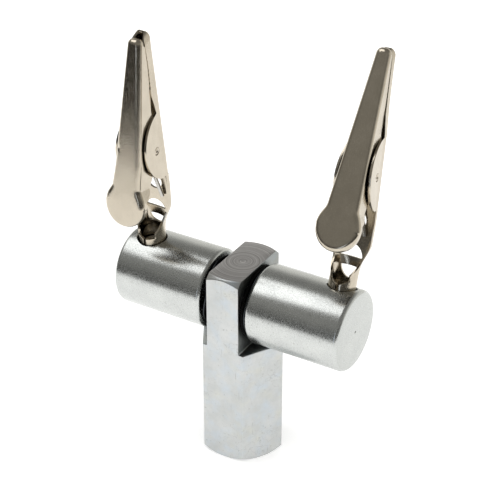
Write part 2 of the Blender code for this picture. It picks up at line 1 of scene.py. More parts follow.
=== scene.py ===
"""Looks of the electrode holder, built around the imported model.

Shapes are drawn in millimetres in the frame of the piece they belong to: the post's own, a
barrel's (Z out through the clip's hole) or a clip's (Z along its tail, -Y towards the thumb
lever). settle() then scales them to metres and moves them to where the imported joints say.
"""

import json
import math

import bmesh
import bpy
from mathutils import Matrix, Vector


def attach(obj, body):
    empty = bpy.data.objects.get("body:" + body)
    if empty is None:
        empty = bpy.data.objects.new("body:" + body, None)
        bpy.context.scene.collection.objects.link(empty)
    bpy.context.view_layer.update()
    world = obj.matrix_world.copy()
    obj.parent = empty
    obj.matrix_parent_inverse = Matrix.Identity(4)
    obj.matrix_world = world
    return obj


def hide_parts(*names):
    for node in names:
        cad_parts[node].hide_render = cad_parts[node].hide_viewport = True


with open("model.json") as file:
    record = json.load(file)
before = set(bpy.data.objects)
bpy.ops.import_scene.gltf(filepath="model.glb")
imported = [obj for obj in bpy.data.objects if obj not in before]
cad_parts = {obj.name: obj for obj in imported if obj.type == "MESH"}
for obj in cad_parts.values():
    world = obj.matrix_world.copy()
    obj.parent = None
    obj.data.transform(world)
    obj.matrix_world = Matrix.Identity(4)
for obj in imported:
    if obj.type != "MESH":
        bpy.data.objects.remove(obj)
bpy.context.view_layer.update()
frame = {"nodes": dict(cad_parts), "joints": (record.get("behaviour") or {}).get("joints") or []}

MM = 0.001
SIDES = (("left", -1), ("right", 1))

# Angles between faces: above the first an edge is broken, below the others it is shaded smooth
BREAK_ABOVE = math.radians(50.0)
SMOOTH_BELOW = math.radians(32.0)
SHEET_SMOOTH_BELOW = math.radians(40.0)

# Post, in mm
HALF_FLATS = 8.0
TONGUE_HALF = 3.6
SHELF = 26.45
POST_TOP = 42.9
# Radii of the 45 degree cones at the top and foot, and the heights between which they miss the bar
CONE_TOP = 7.65
CONE_FOOT = 8.0
FOOT_CONE_END = 1.5
TOP_CONE_START = 41.5
EDGE_BREAK = 0.14
HEX_ROUND = 0.2
CONE_ROUND = 0.1
SHELF_FILLET = 0.3
CENTRE_NIB = 0.35
NIB_EDGE = 0.15
NIB_DEEP = 0.04

# Barrels, washers and screws, in mm
BARREL_R = 8.2
BARREL_INNER = {"left": 5.4, "right": 4.85}
BARREL_OUTER = {"left": 25.45, "right": 25.05}
BARREL_CHAMFER = 0.5
# The end faces, darkened as painted shade, start this far out
CAP_FROM = 24.93
# (radius, depth) of the centre mark in the end face
CAP_DIMPLE = [(0.0, 0.25), (0.22, 0.2), (0.32, 0.02)]
BORE_R = 4.1
BORE_END = 15.6
HOLE_AT = 20.7
HOLE_R = 2.98
HOLE_FLOOR = 1.6
HOLE_MOUTH = 3.3
DRILL_OUT = 4.0
WASHER_R = 7.4
FLAT_WASHER = (3.7, 4.15)
WAVE_RING = (4.3, 7.2)
WAVE_CLEAR = 0.1
WAVE_SHEET = 0.25
WAVES = 3
GRUB_AT = 9.7
GRUB_R = 1.5
GRUB_PLAY = 0.03
GRUB_DRILL_END = -3.5
# The countersink: how much wider than the screw, from how far inside the barrel, to how far out
GRUB_MOUTH = (1.2, 0.35, 0.8)
GRUB_TIP = (1.0, 3.3)
GRUB_SHOULDER = 4.6
GRUB_HEAD = 7.4
GRUB_SOCKET = (0.87, 1.4)
SPIGOT_R = 1.95
SPIGOT_CHAMFER = 0.4
SPIGOT_FOOT = -4.0
SPIGOT_TOP = 7.2

# Clip, in mm. Heights run along its tail. The end of a wall is given at each height as how far
# it stands in front of the tail's axis.
SHEET = 0.45
TAIL_FOOT = 2.2
TAIL_R = 2.75
TAIL_CLOSED = {"left": 9.1, "right": 8.2}
TAIL_SEAM = 8.0
TAIL_WRAP = math.radians(174.0)
NECK_TOP = 16.2
NECK_FOOT = 9.4
NECK_WALL = [(22.4, -1.5), (17.0, -1.5), (14.5, -1.0), (12.5, 0.0), (11.4, 1.0), (10.4, 1.9)]
OPENING_CENTRE = {"left": 13.2, "right": 12.2}
OPENING_REACH = {"left": 2.8, "right": 3.4}
UPPER_OPENING_HALF = 2.4
LOWER_OPENING_HALF = 1.8
OPENING_CUT = (0.6, 6.0)
BRIDGE = {"left": (12.4, 14.2), "right": (11.3, 13.1)}
SPRING_HOLE = 20.3
SPRING_HOLE_R = 1.7
JAW_TIP = 54.0
# The nose rounds off between these heights, and is squashed to a share of that
NOSE_TOP = 54.6
NOSE_FOOT = 52.3
NOSE_RISE = {"left": 0.61, "right": 0.55}
NOSE_PINCH = 0.7
NOSE_DROOP = 0.35
NOSE_HALF = 0.12
JAW_BACK = 2.65
JAW_BACK_SLOPE = 0.02
JAW_CORNER = 0.75
# Points across half of the back, round the bend and down the wall
SECTION_STEPS = (8, 6, 10)
SEAM_BACK = {"left": 0.0, "right": 0.2}
# Heights over which the seam's shift comes in from the tip and goes out at the ears
SEAM_RAMPS = ((47.0, 42.0), (35.5, 37.0))
JAW_WALL = [(54.6, -1.38), (47.0, -1.38), (43.4, -1.14), (41.4, -0.96), (38.4, -1.3),
            (37.2, -1.45), (36.8, -0.6)]
HALF_AT_TIP = 1.43
TAPER = 0.062
HALF_MOST = 3.75
EAR_BEHIND = 3.2
EAR_MIDDLE = 30.0
EAR_R = 7.34
EAR_TOP = 36.8
EAR_FOOT = 23.1
EAR_STEP = 8.0
EAR_STANDOFF = 0.25
EAR_FLARE = 0.1
EAR_FLARE_FROM = 1.2
JAW_BULGE = {"left": 0.3, "right": 0.05}
PIVOT = (-0.3, 29.8)
PIN_R = 0.8
PIN_PROUD = 0.05
# (radius, depth) of the punched ends
PIN_END = [(0.0, 0.3), (0.22, 0.25), (0.34, 0.0), (PIN_R, 0.12)]
PIN_PLAY = {"jaw": 0.03, "lever": 0.15}
SHEET_EDGE = 0.03
TEETH = (42.6, 50.4)
TOOTH_PITCH = 0.87
TOOTH_DEPTH = 0.07

# Upper jaw, in mm
LEVER_SLOPE = 0.239
LEVER_ANGLE = math.atan(LEVER_SLOPE)
LEVER_FRONT_AT_TIP = -0.05
LEVER_TIP_ROUND = 1.25
LEVER_WALL = [(53.3, -1.37), (47.0, -1.37), (43.4, -1.13), (41.4, -0.93), (37.7, -0.35),
              (36.8, -0.85), (35.5, -1.4), (28.2, -1.4), (26.2, 0.0), (24.8, 1.9),
              (23.7, 2.6), (21.9, 4.0), (21.3, 6.0)]
# How much narrower the gap above the ears is, and the heights over which that comes and goes
WEDGE_SHUT = {"left": 0.0, "right": 0.35}
WEDGE_RAMPS = ((41.4, 38.5), (35.5, 37.0))
LEVER_BEND = 1.05
LEVER_DRAFT = 0.015
WALL_ROUND = 1.2
# The pad leans to one side, from the first of these places along the plate to the second
PAD_ASIDE = {"left": -0.35, "right": 0.0}
ASIDE_RAMP = (9.0, 1.0)
TIP_LONGER = {"left": -0.45, "right": 0.25}
LEVER_CROWN = 0.1
# (along, across, deep, wide) of a dent in the plate
DENTS = {"left": (11.8, -2.3, 0.09, 0.5), "right": (0.0, 0.0, 0.0, 1.0)}
PAD_R = 4.5
PAD_HEIGHT = 20.4
LEVER_FRONT = LEVER_FRONT_AT_TIP + LEVER_SLOPE * (JAW_TIP - PAD_HEIGHT)
PAD_RIM = 1.8
PAD_BLEND = 8.0
# Half of the step that the outline's slope is measured over
NUDGE = 0.05

# Spring, in mm
WIRE_R = 0.4
WIRE_GAP = 0.1
COIL_R = 1.4
COIL_PITCH = 0.86
COIL_TURNS = 3
COIL_POINTS = 40
# Where the legs end: aside and height on the lower jaw, and along the lever from its pad
JAW_LEG = (2.1, 17.7)
PAD_LEG_ALONG = 1.5


# Where things are

JOINTS = {joint["name"]: joint for joint in frame["joints"]}
AXIS_HEIGHT = JOINTS["left_barrel_swivel"]["pos_m"][2]


def axes_matrix(origin, across, up):
    """The frame with this origin, its X across and its Z up."""
    x, z = Vector(across).normalized(), Vector(up).normalized()
    y = z.cross(x)
    return Matrix.Translation(Vector(origin)) @ Matrix((x, y, z)).transposed().to_4x4()


def clip_matrix(hand):
    tail = JOINTS[f"{hand}_clip_turn"]
    return axes_matrix(tail["pos_m"], JOINTS[f"{hand}_jaw_open"]["axis"], tail["axis"])


def barrel_matrix(hand):
    """The barrel's frame: its hole leans to the front or back as far as the clip's tail does."""
    x, y, z = JOINTS[f"{hand}_clip_turn"]["axis"]
    return axes_matrix((0, 0, AXIS_HEIGHT), (1, 0, 0), (0, y, z))


# Mesh helpers

def grid_mesh(name, rows, ring=False):
    """A mesh with a quad between each four neighbours of a grid of points."""
    made = bmesh.new()
    grid = [[made.verts.new(point) for point in row] for row in rows]
    for upper, lower in zip(grid, grid[1:]):
        count = len(upper)
        for spot in range(count if ring else count - 1):
            after = (spot + 1) % count
            made.faces.new((upper[spot], upper[after], lower[after], lower[spot]))
    bmesh.ops.remove_doubles(made, verts=made.verts, dist=1e-4)
    mesh = bpy.data.meshes.new(name)
    made.to_mesh(mesh)
    made.free()
    return mesh


def face_outwards(mesh):
    made = bmesh.new()
    made.from_mesh(mesh)
    bmesh.ops.recalc_face_normals(made, faces=made.faces)
    made.to_mesh(mesh)
    made.free()


def new_piece(name, mesh):
    piece = bpy.data.objects.new(name, mesh)
    bpy.context.scene.collection.objects.link(piece)
    return piece


def apply_modifiers(piece):
    bpy.context.view_layer.update()
    graph = bpy.context.evaluated_depsgraph_get()
    mesh = bpy.data.meshes.new_from_object(piece.evaluated_get(graph))
    piece.modifiers.clear()
    piece.data = mesh


def cut(piece, mesh):
    """Cuts a closed mesh out of a piece."""
    cutter = new_piece("cutter", mesh)
    step = piece.modifiers.new("cut", "BOOLEAN")
    step.object = cutter
    step.solver = "EXACT"
    apply_modifiers(piece)
    bpy.data.objects.remove(cutter, do_unlink=True)


def thicken(piece, thickness):
    """Gives a sheet its thickness, on the inside."""
    shell = piece.modifiers.new("sheet", "SOLIDIFY")
    shell.thickness = thickness
    shell.offset = -1.0
    shell.use_even_offset = True
    apply_modifiers(piece)


def break_edges(piece, width):
    edge = piece.modifiers.new("edge", "BEVEL")
    edge.width = width
    edge.segments = 2
    edge.limit_method = "ANGLE"
    edge.angle_limit = BREAK_ABOVE
    apply_modifiers(piece)


def settle(piece, place, body, node, looks, smooth_below=SMOOTH_BELOW):
    """Scales a piece from mm, moves it to its place, and says what it rides on and replaces."""
    piece.data.transform(place @ Matrix.Scale(MM, 4))
    piece.data.shade_smooth()
    piece.data.set_sharp_from_angle(angle=smooth_below)
    piece.data.materials.clear()
    for look in looks:
        piece.data.materials.append(look)
    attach(piece, body)
    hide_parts(node)


def ring_of(radius, height, steps):
    return [(radius * math.cos(turn), radius * math.sin(turn), height)
            for turn in (2 * math.pi * step / steps for step in range(steps))]


def round_corners(points, radius, steps=3):
    """The same line with each inner corner swapped for a short curve."""
    line = [Vector(points[0])]
    for before, corner, after in zip(points, points[1:], points[2:]):
        before, corner, after = Vector(before), Vector(corner), Vector(after)
        back, on = before - corner, after - corner
        reach = min(radius, 0.45 * back.length, 0.45 * on.length)
        start, end = corner + back.normalized() * reach, corner + on.normalized() * reach
        for step in range(steps + 1):
            share = step / steps
            line.append(start * (1 - share) ** 2 + corner * 2 * share * (1 - share)
                        + end * share ** 2)
    line.append(Vector(points[-1]))
    return line


def turned_mesh(name, profile, steps=160):
    """A profile of (radius, height) points turned about Z."""
    mesh = grid_mesh(name, [ring_of(radius, height, steps) for radius, height in profile], True)
    face_outwards(mesh)
    return mesh


def between(height, stations):
    """A value read between the (height, value) stations on either side."""
    for (high, upper), (low, lower) in zip(stations, stations[1:]):
        if height >= low:
            share = min((height - low) / (high - low), 1.0)
            return lower + (upper - lower) * share
    return stations[-1][1]


def ramp(value, start, end):
    """0 before start and 1 after end, with a smooth step between."""
    share = min(max((value - start) / (end - start), 0.0), 1.0)
    return share * share * (3.0 - 2.0 * share)


def spread(start, end, count):
    return [start + (end - start) * step / count for step in range(count)]


# Looks

def add_node(tree, kind, values, **settings):
    """The outputs of a new node. Each input is a number, a colour or another node's output."""
    made = tree.nodes.new(kind)
    for key, value in settings.items():
        setattr(made, key, value)
    for key, value in values.items():
        if isinstance(value, bpy.types.NodeSocket):
            tree.links.new(value, made.inputs[key])
        else:
            made.inputs[key].default_value = value
    return made.outputs


def mix_colours(tree, share, first, second):
    return add_node(tree, "ShaderNodeMix", {"Factor": share, 6: first, 7: second},
                    data_type="RGBA")[2]


class Look:
    """A material, with short calls for its nodes."""

    def __init__(self, name, metallic=1.0, roughness=0.3):
        self.material = bpy.data.materials.new(name)
        self.material.use_nodes = True
        self.tree = self.material.node_tree
        self.shader = self.tree.nodes["Principled BSDF"]
        self.shader.inputs["Metallic"].default_value = metallic
        self.shader.inputs["Roughness"].default_value = roughness
        place = self.tree.nodes.new("ShaderNodeTexCoord").outputs["Object"]
        self.place = self.stretch(place, (1 / MM, 1 / MM, 1 / MM))

    def add(self, kind, values, **settings):
        return add_node(self.tree, kind, values, **settings)

    def stretch(self, vector, scale, turn=(0.0, 0.0, 0.0)):
        values = {"Vector": vector, "Scale": scale, "Rotation": turn}
        return self.add("ShaderNodeMapping", values)["Vector"]

    def parts(self):
        """The X, Y and Z of the place, in mm."""
        return self.add("ShaderNodeSeparateXYZ", {"Vector": self.place})

    def noise(self, scale, detail=3.0, vector=None, rough=0.5):
        """Grain with about this many grains to the millimetre."""
        values = {"Vector": vector or self.place, "Scale": scale, "Detail": detail,
                  "Roughness": rough}
        return self.add("ShaderNodeTexNoise", values)["Fac"]

    def math(self, kind, first, second=0.0):
        return self.add("ShaderNodeMath", {0: first, 1: second}, operation=kind)["Value"]

    def span(self, value, low, high, start=0.0, end=1.0):
        """The value mapped from low..high to start..end, and held there outside."""
        values = {"Value": value, "From Min": low, "From Max": high, "To Min": start,
                  "To Max": end}
        return self.add("ShaderNodeMapRange", values)["Result"]

    def mix(self, share, first, second):
        first, second = (value if isinstance(value, bpy.types.NodeSocket) else (*value, 1.0)
                         for value in (first, second))
        return mix_colours(self.tree, share, first, second)

    def bump(self, height, distance, strength=1.0):
        values = {"Height": height, "Distance": distance * MM, "Strength": strength}
        return self.add("ShaderNodeBump", values)["Normal"]

    def finish(self, colour, roughness=None, normal=None):
        """The material, with these outputs linked to its shader."""
        for key, value in (("Base Color", colour), ("Roughness", roughness),
                           ("Normal", normal)):
            if value is not None:
                self.tree.links.new(value, self.shader.inputs[key])
        return self.material


def scratches(look, scale, turn, least):
    """Thin lines, 0 to 1, that run roughly along one direction."""
    bent = look.stretch(look.place, (scale, scale * 0.03, scale * 0.03), turn)
    return look.span(look.noise(1.0, 2.0, bent), least, least + 0.03)


def hairlines(look, scale, width):
    """Fine wandering lines, 0 to 1: the places where a soft noise passes its middle."""
    away = look.math("ABSOLUTE", look.math("SUBTRACT", look.noise(scale, 3.0), 0.5))
    return look.span(away, 0.0, width, 1.0, 0.0)


def zinc_bar_look():
    """Bright zinc plating on drawn bar: cloudy, pitted, lightly scratched, with painted shade on
    the tongue's milled flanks.
    """
    look = Look("zinc_bar")
    clouds = look.noise(0.22, 4.0)
    tint = look.noise(0.35, 3.0, look.stretch(look.place, (1, 1, 1), (0.6, 0.3, 0.9)))
    grain = look.noise(5.0, 3.0)
    pits = look.math("MULTIPLY", look.span(look.noise(1.6, 2.0), 0.26, 0.31, 1.0, 0.0), 0.8)
    scribbles = look.math("MULTIPLY", hairlines(look, 0.45, 0.010),
                          look.span(look.noise(0.12, 1.0), 0.42, 0.62))
    lines = look.math("MAXIMUM", scratches(look, 6.0, (0.2, 0.9, 0.4), 0.71),
                      look.math("MULTIPLY", scribbles, 0.8))
    base = look.mix(look.span(clouds, 0.35, 0.65), (0.53, 0.545, 0.54), (0.61, 0.62, 0.615))
    base = look.mix(look.span(tint, 0.45, 0.75), base, (0.55, 0.60, 0.645))
    base = look.mix(look.span(look.noise(0.28, 2.0), 0.55, 0.75, 0.0, 0.5), base,
                    (0.62, 0.615, 0.54))
    base = look.mix(look.span(look.noise(1.3, 5.0, None, 0.65), 0.3, 0.7, 0.0, 0.22), base,
                    (0.40, 0.42, 0.41))
    worn = look.math("MAXIMUM", pits, lines)
    base = look.mix(look.math("MULTIPLY", worn, 0.55), base, (0.22, 0.22, 0.21))
    rough = look.span(grain, 0.3, 0.7, 0.28, 0.42)
    height = look.math("SUBTRACT", look.math("MULTIPLY", grain, 0.3), worn)
    parts = look.parts()
    # Painted shade: the tongue's flanks above the shelf, shaded by the barrels, are darkened to
    # near black
    off = look.math("SUBTRACT", look.math("ABSOLUTE", parts["X"]), TONGUE_HALF)
    side = look.span(look.math("ABSOLUTE", off), 0.0, 0.06, 1.0, 0.0)
    flank_shade = look.math("MULTIPLY", side, look.span(parts["Z"], SHELF, SHELF + 0.1))
    base = look.mix(look.math("MULTIPLY", flank_shade, 0.6), base, (0.09, 0.10, 0.085))
    return look.finish(base, rough, look.bump(height, 0.02, 0.5))


def zinc_barrel_look():
    """Bright zinc plating on a turned barrel: fine, sparkling grain, and end faces darkened as
    painted shade.
    """
    look = Look("zinc_barrel")
    clouds = look.noise(0.25, 4.0)
    grain = look.noise(4.5, 2.0)
    fine = look.noise(11.0, 1.0)
    specks = look.span(look.noise(2.4, 2.0), 0.30, 0.35, 1.0, 0.0)
    base = look.mix(look.span(clouds, 0.35, 0.65), (0.545, 0.56, 0.55), (0.60, 0.615, 0.60))
    base = look.mix(look.math("MULTIPLY", specks, 0.4), base, (0.27, 0.27, 0.25))
    rough = look.span(grain, 0.3, 0.7, 0.18, 0.34)
    # Painted shade: the end faces past CAP_FROM are darkened
    out = look.math("ABSOLUTE", look.parts()["X"])
    base = look.mix(look.span(out, CAP_FROM, CAP_FROM + 0.1, 0.0, 0.5), base,
                    (0.44, 0.455, 0.435))
    height = look.math("ADD", grain, look.math("MULTIPLY", fine, 0.5))
    return look.finish(base, rough, look.bump(height, 0.012, 0.45))


def machined_look():
    """The bare, turned end of the post, with rings about its centre."""
    look = Look("machined_end")
    flat = look.stretch(look.place, (1, 1, 0))
    radius = look.add("ShaderNodeVectorMath", {0: flat}, operation="LENGTH")["Value"]
    line = look.add("ShaderNodeCombineXYZ", {"X": radius})["Vector"]
    rings = look.noise(3.2, 3.0, line, 0.7)
    grain = look.noise(4.0, 2.0)
    base = look.mix(look.span(rings, 0.35, 0.7), (0.31, 0.30, 0.30), (0.85, 0.84, 0.84))
    rough = look.span(grain, 0.3, 0.7, 0.34, 0.5)
    return look.finish(base, rough, look.bump(rings, 0.05, 0.6))


def nickel_look():
    """Bright nickel plating on pressed sheet, mottled, with faint streaks from handling."""
    look = Look("nickel_plate")
    clouds = look.noise(0.3, 3.0)
    streaks = look.noise(1.0, 3.0, look.stretch(look.place, (6.0, 6.0, 0.35), (0.25, 0.5, 0.1)))
    grain = look.noise(7.0, 2.0)
    base = look.mix(look.span(clouds, 0.35, 0.65), (0.52, 0.465, 0.375), (0.58, 0.52, 0.425))
    base = look.mix(look.math("MULTIPLY", look.span(streaks, 0.5, 0.8), 0.3), base,
                    (0.66, 0.62, 0.54))
    base = look.mix(look.span(grain, 0.4, 0.6, 0.0, 0.35), base, (0.40, 0.36, 0.30))
    brushed = look.noise(3.0, 3.0, look.stretch(look.place, (3.0, 3.0, 0.8), (0.5, 0.3, 0.4)))
    rough = look.math("ADD", look.span(streaks, 0.3, 0.7, 0.07, 0.17),
                      look.span(grain, 0.3, 0.7, 0.0, 0.04))
    height = look.math("ADD", look.math("MULTIPLY", streaks, 0.4),
                       look.math("ADD", grain, brushed))
    return look.finish(base, rough, look.bump(height, 0.018, 0.5))


def steel_look(name, colour, rough_low, rough_high, grain_size=5.0):
    """Plain drawn or turned steel, with grain."""
    look = Look(name)
    grain = look.noise(grain_size, 3.0)
    dark = tuple(0.8 * part for part in colour)
    base = look.mix(look.span(grain, 0.35, 0.65), dark, colour)
    rough = look.span(grain, 0.3, 0.7, rough_low, rough_high)
    return look.finish(base, rough, look.bump(grain, 0.01, 0.3))


ZINC_BAR = zinc_bar_look()
ZINC_BARREL = zinc_barrel_look()
MACHINED = machined_look()
NICKEL = nickel_look()
BRIGHT = steel_look("bright_steel", (0.60, 0.60, 0.59), 0.25, 0.4)
SPRING = steel_look("spring_steel", (0.60, 0.58, 0.54), 0.16, 0.28, 8.0)
# The washers' near-black colours are painted shade: they stand for the dark gaps between the post
# and the barrels
SHADE_BLACK_BLUED = steel_look("shade_black_blued_steel", (0.05, 0.055, 0.06), 0.3, 0.5, 8.0)
SHADE_BLACK_FIBRE = steel_look("black_fibre", (0.02, 0.02, 0.02), 0.7, 0.9)
BLACK = steel_look("black_oxide", (0.09, 0.09, 0.10), 0.35, 0.5)


# Post

def ray_to_flat(turn, facing, distance):
    """How far out a ray at this angle meets a flat that faces this way."""
    lean = math.cos(turn - facing)
    return distance / lean if lean > 0.05 else 20.0 * distance


def soft_least(values, width):
    """The least value, with the corner between the two least rounded off."""
    least, other = sorted(values)[:2]
    overlap = max(width - (other - least), 0.0) / width
    return least - overlap * overlap * width / 4


def post_radius(turn, tongue, sides, fronts):
    """The post's outline at one height: the full hexagon, or the tongue milled from it."""
    faces = [(math.radians(facing), HALF_FLATS - fronts) for facing in (90, 270)]
    if tongue:
        faces += [(math.radians(facing), TONGUE_HALF - sides) for facing in (0, 180)]
    else:
        faces += [(math.radians(facing), HALF_FLATS - sides) for facing in (30, 150, 210, 330)]
    return soft_least([ray_to_flat(turn, *face) for face in faces], HEX_ROUND)


def post_turns():
    """Angles of the points round the post, closer together at its corners."""
    corner = math.degrees(math.atan2(HALF_FLATS, TONGUE_HALF))
    corners = [60 * step for step in range(6)] + [corner, 180 - corner, 180 + corner,
                                                  360 - corner]
    turns = {round(2.0 * step, 3) for step in range(180)}
    for middle in corners:
        turns |= {round((middle + 0.25 * step) % 360, 3) for step in range(-10, 11)}
    return [math.radians(turn) for turn in sorted(turns)]


def post_rows():
    """(height, cone out, sides in, fronts in, tongue) from the foot's edge to the top's."""
    quarter = [math.pi / 2 * step / 4 for step in range(5)]
    rows = []
    for turn in quarter:
        inset = EDGE_BREAK * (1 - math.sin(turn))
        rows.append((EDGE_BREAK * (1 - math.cos(turn)), -inset, inset, inset, False))
    rows += [(height, 0.0, 0.0, 0.0, False) for height in (
        spread(0.2, FOOT_CONE_END, 18) + spread(FOOT_CONE_END + 0.5, SHELF - EDGE_BREAK, 8))]
    for turn in quarter:
        rows.append((SHELF - EDGE_BREAK * (1 - math.sin(turn)), 0.0,
                     EDGE_BREAK * (1 - math.cos(turn)), 0.0, False))
    for turn in quarter:
        rows.append((SHELF + SHELF_FILLET * (1 - math.cos(turn)), 0.0,
                     -SHELF_FILLET * (1 - math.sin(turn)), 0.0, True))
    rows += [(height, 0.0, 0.0, 0.0, True) for height in (
        spread(28.0, TOP_CONE_START, 5) + spread(TOP_CONE_START, POST_TOP - EDGE_BREAK, 20))]
    for turn in quarter:
        inset = EDGE_BREAK * (1 - math.cos(turn))
        rows.append((POST_TOP - EDGE_BREAK * (1 - math.sin(turn)), -inset, inset, inset, True))
    return rows


def make_post():
    """The post as one skin of rings, each a hexagon or tongue outline within the end cones."""
    turns = post_turns()
    rings = []
    for height, out, sides, fronts, tongue in post_rows():
        cone = min(CONE_FOOT + height, CONE_TOP + POST_TOP - height)
        reach = [soft_least([post_radius(turn, tongue, sides, fronts), cone + out],
                            CONE_ROUND) for turn in turns]
        rings.append([(far * math.cos(turn), far * math.sin(turn), height)
                      for far, turn in zip(reach, turns)])

    def circle(radius, height):
        return [(radius * math.cos(turn), radius * math.sin(turn), height) for turn in turns]

    foot = [circle(radius, 0.0) for radius in (0.0, 2.0, 4.0, 6.0)]
    top = [circle(radius, POST_TOP) for radius in (3.2, 2.2, 1.2, CENTRE_NIB + NIB_EDGE)]
    top += [circle(CENTRE_NIB, POST_TOP - NIB_DEEP), circle(0.0, POST_TOP)]
    mesh = grid_mesh("post_bar", foot + rings + top, True)
    face_outwards(mesh)
    piece = new_piece("post_bar", mesh)
    settle(piece, Matrix.Identity(4), "post", "post", [ZINC_BAR, MACHINED])
    for face in piece.data.polygons:
        if face.normal.z > 0.9 and face.center.z > (POST_TOP - EDGE_BREAK) * MM:
            face.material_index = 1


# Barrels and what is in them

def along_x(sign):
    """Turns a shape made along Z so that it points out from the post."""
    return Matrix.Rotation(sign * math.pi / 2, 4, "Y")


def make_barrel(hand, sign):
    edge, rim = BARREL_CHAMFER, BARREL_R - BARREL_CHAMFER
    inner, outer = BARREL_INNER[hand], BARREL_OUTER[hand]
    profile = [(radius, outer - deep) for radius, deep in CAP_DIMPLE]
    profile += [(0.5, outer), (2.4, outer), (5.0, outer), (rim, outer), (BARREL_R, outer - edge),
                (BARREL_R, inner + edge), (rim, inner), (BORE_R, inner), (BORE_R, BORE_END),
                (0, BORE_END)]
    name = f"{hand}_barrel_body"
    piece = new_piece(name, turned_mesh(name, round_corners(profile, 0.3, 4)))
    piece.data.transform(along_x(sign))
    drop = BARREL_R - (HOLE_MOUTH - HOLE_R)
    drill = turned_mesh("drill", round_corners([
        (0, 12.0), (HOLE_MOUTH + DRILL_OUT, 12.0), (HOLE_R, drop), (HOLE_R, HOLE_FLOOR),
        (0, HOLE_FLOOR)], 0.25, 4), 96)
    drill.transform(Matrix.Translation((sign * HOLE_AT, 0, 0)))
    cut(piece, drill)
    wider, inside, outside = GRUB_MOUTH
    tap = turned_mesh("tap", round_corners([
        (0, GRUB_DRILL_END), (GRUB_R + GRUB_PLAY, GRUB_DRILL_END),
        (GRUB_R + GRUB_PLAY, inside - BARREL_R), (GRUB_R + wider, -BARREL_R - outside),
        (0, -BARREL_R - outside)], 0.1, 2), 64)
    tap.transform(Matrix.Translation((sign * GRUB_AT, 0, 0)))
    cut(piece, tap)
    settle(piece, barrel_matrix(hand), f"{hand}_barrel", f"{hand}_barrel",
           [ZINC_BARREL])


def make_washer(hand, sign):
    near, far = FLAT_WASHER
    name = f"{hand}_friction_ring"
    profile = [(BORE_R, near + 0.2), (BORE_R, near), (WASHER_R, near), (WASHER_R, far),
               (BORE_R, far), (BORE_R, near + 0.2)]
    piece = new_piece(name, turned_mesh(name, round_corners(profile, 0.08, 3)))
    piece.data.transform(along_x(sign))
    # Near black: painted shade for the gap beside the tongue
    settle(piece, Matrix.Translation((0, 0, AXIS_HEIGHT)), "post", f"{hand}_friction_washer",
           [SHADE_BLACK_FIBRE])


def make_wave_washer(hand, sign):
    """A thin ring bent into waves."""
    name = f"{hand}_wave_ring"
    near, far = FLAT_WASHER[1] + WAVE_CLEAR, BARREL_INNER[hand] - WAVE_CLEAR
    middle, height = (near + far - WAVE_SHEET) / 2, (far - near - WAVE_SHEET) / 2
    rows = []
    for radius in spread(WAVE_RING[0], WAVE_RING[1], 8) + [WAVE_RING[1]]:
        rows.append([(radius * math.cos(turn), radius * math.sin(turn),
                      middle + height * math.cos(WAVES * turn))
                     for turn in (2 * math.pi * step / 160 for step in range(160))])
    piece = new_piece(name, grid_mesh(name, rows, True))
    thicken(piece, WAVE_SHEET)
    face_outwards(piece.data)
    piece.data.transform(along_x(sign))
    # Near black: painted shade for the gap beside the tongue
    settle(piece, barrel_matrix(hand), f"{hand}_barrel", f"{hand}_wave_washer",
           [SHADE_BLACK_BLUED])


def make_grub_screw(hand, sign):
    tip_radius, tip = GRUB_TIP
    socket, depth = GRUB_SOCKET
    name = f"{hand}_set_screw"
    profile = [(0, -tip), (tip_radius, -tip), (tip_radius, -GRUB_SHOULDER),
               (GRUB_R, -GRUB_SHOULDER), (GRUB_R, -GRUB_HEAD), (0, -GRUB_HEAD)]
    piece = new_piece(name, turned_mesh(name, round_corners(profile, 0.15, 3), 64))
    hexagon = [ring_of(radius, height, 6) for radius, height in (
        (0, depth - GRUB_HEAD), (socket, depth - GRUB_HEAD), (socket, -GRUB_HEAD - 1),
        (0, -GRUB_HEAD - 1))]
    tool = grid_mesh("socket", hexagon, True)
    face_outwards(tool)
    cut(piece, tool)
    piece.data.transform(Matrix.Translation((sign * GRUB_AT, 0, 0)))
    settle(piece, barrel_matrix(hand), f"{hand}_barrel", f"{hand}_grub_screw",
           [BLACK])


def make_spigot(hand, sign):
    name = f"{hand}_tail_spigot"
    profile = [(0, SPIGOT_TOP), (SPIGOT_R - SPIGOT_CHAMFER, SPIGOT_TOP),
               (SPIGOT_R, SPIGOT_TOP - SPIGOT_CHAMFER),
               (SPIGOT_R, SPIGOT_FOOT), (0, SPIGOT_FOOT)]
    piece = new_piece(name, turned_mesh(name, round_corners(profile, 0.15, 3), 96))
    piece.data.transform(Matrix.Translation((sign * HOLE_AT, 0, 0)))
    settle(piece, barrel_matrix(hand), f"{hand}_barrel", f"{hand}_clip_spigot",
           [BRIGHT])


# Clip: lower jaw

def lever_half(height):
    """Half of the lever's width where it isn't a pad."""
    return HALF_AT_TIP + TAPER * (JAW_TIP - height)


def jaw_half(height):
    """Half of the lower jaw's width: its ears stand outside the lever's walls."""
    ears = EAR_STANDOFF * ramp(height, EAR_TOP + EAR_STEP, EAR_TOP)
    half = min(lever_half(height) + ears, HALF_MOST)
    return half + (TAIL_R - half) * ramp(height, NECK_TOP, NECK_FOOT)


def nose(height):
    """0 up to the nose's foot, then a quarter round to 1 at the tip."""
    share = min(max((height - NOSE_FOOT) / (NOSE_TOP - NOSE_FOOT), 0.0), 1.0)
    return 1.0 - math.sqrt(1.0 - share * share)


